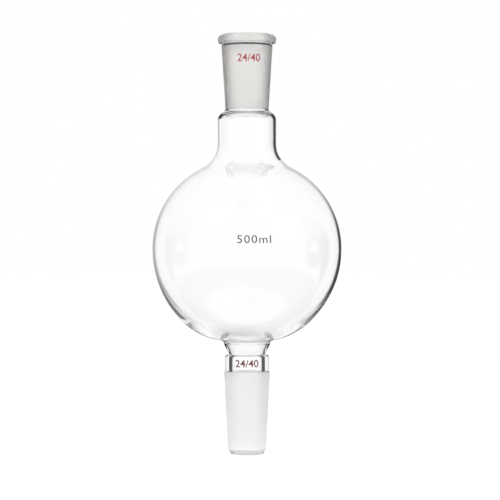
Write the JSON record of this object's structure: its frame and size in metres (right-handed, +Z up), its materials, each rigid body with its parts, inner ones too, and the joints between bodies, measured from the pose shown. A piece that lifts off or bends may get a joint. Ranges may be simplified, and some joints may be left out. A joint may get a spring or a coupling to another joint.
{
  "type": "chromatography solvent reservoir",
  "caption": "Round glass solvent reservoir for a column: blown bulb, short neck, ground outer cone with bead on top and ground inner cone below.",
  "frame": {"origin": "on the axis, at the gauge plane of the lower ground joint, where its cone is 24 mm across", "axes": "+Z up the axis, from the lower joint through the bulb to the mouth of the upper joint; X and Y are any two directions square to it, because the body is round"},
  "size_m": [0.0995, 0.0994, 0.2203],
  "materials": {
    "glass": "clear fire-polished borosilicate glass, ground matt on both cones"
  },
  "bodies": {
    "root": {"glass_reservoir": "glass"}
  },
  "joints": []
}
